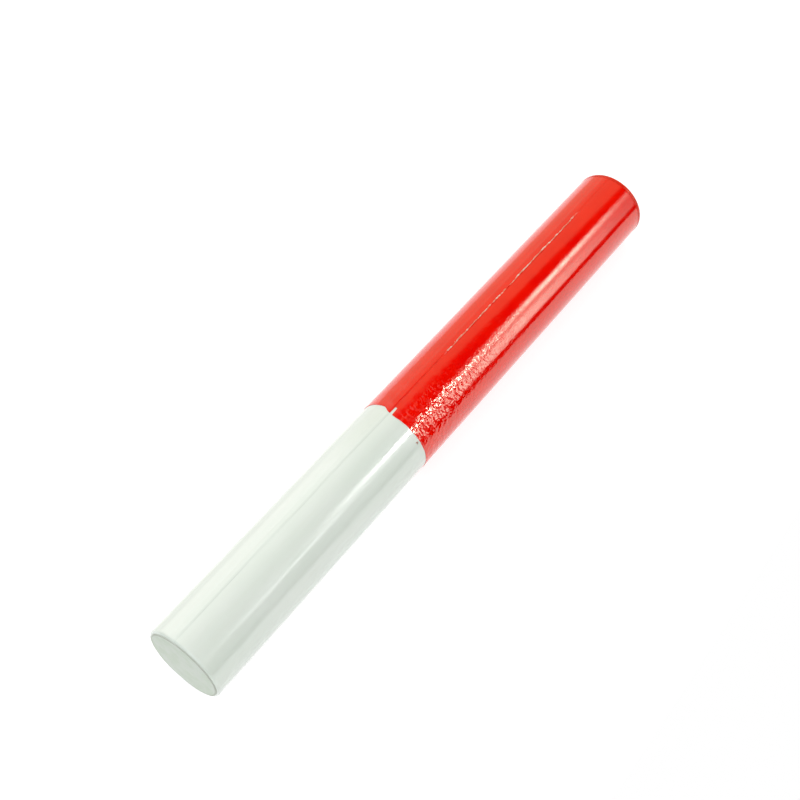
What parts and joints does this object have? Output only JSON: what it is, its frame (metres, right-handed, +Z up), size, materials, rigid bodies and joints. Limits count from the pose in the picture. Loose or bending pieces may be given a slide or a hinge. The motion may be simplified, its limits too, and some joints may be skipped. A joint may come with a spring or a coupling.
{
  "type": "road flare",
  "caption": "Round paper stick flare with a white handle half, a red burning half, an igniter inside the red end and a plug cap that carries the striker.",
  "frame": {"origin": "midway along the stick, on the surface it lies on", "axes": "+X along the stick from the white handle end to the red igniter end, +Z up"},
  "size_m": [0.263, 0.03, 0.03],
  "materials": {
    "kraft_paper": "wound kraft paper",
    "white_glazed_paper": "glazed, faintly green white",
    "red_glazed_paper": "glazed, glossy red",
    "end_card": "matt pale card",
    "grey_card": "matt grey board",
    "softwood": "turned softwood",
    "clay": "pressed dry clay",
    "waxed_paper": "waxed",
    "flare_composition": "pressed powder",
    "first_fire": "pressed powder",
    "igniter_composition": "match-head composition",
    "cap_plastic": "moulded, glossy red",
    "seal_rubber": "soft",
    "striker_surface": "gritty red-brown striking surface",
    "cover_card": "red glazed card",
    "tab_tape": "gummed paper tape"
  },
  "bodies": {
    "flare": {"casing_tube": "kraft_paper", "white_wrap": "white_glazed_paper", "red_wrap": "red_glazed_paper", "handle_end_disc": "end_card", "handle_plug": "softwood", "handle_spacer_tube": "kraft_paper", "bulkhead_disc": "grey_card", "clay_fire_stop": "clay", "grain_liner": "waxed_paper", "flare_grain": "flare_composition", "first_fire_layer": "first_fire", "retaining_washer": "grey_card", "igniter_button": "igniter_composition"},
    "striker_cap": {"striker_cap": "cap_plastic", "cap_seal_ring": "seal_rubber", "striker_board": "grey_card", "striker_coating": "striker_surface"},
    "striker_cover": {"striker_cover": "cover_card", "cover_pull_tab": "tab_tape"}
  },
  "joints": [
    {"name": "cap_pull", "type": "slide", "parent": "flare", "child": "striker_cap", "axis": [1, 0, 0], "range_m": [0, 0.05]},
    {"name": "cover_lift", "type": "slide", "parent": "striker_cap", "child": "striker_cover", "axis": [1, 0, 0], "range_m": [0, 0.03]}
  ]
}
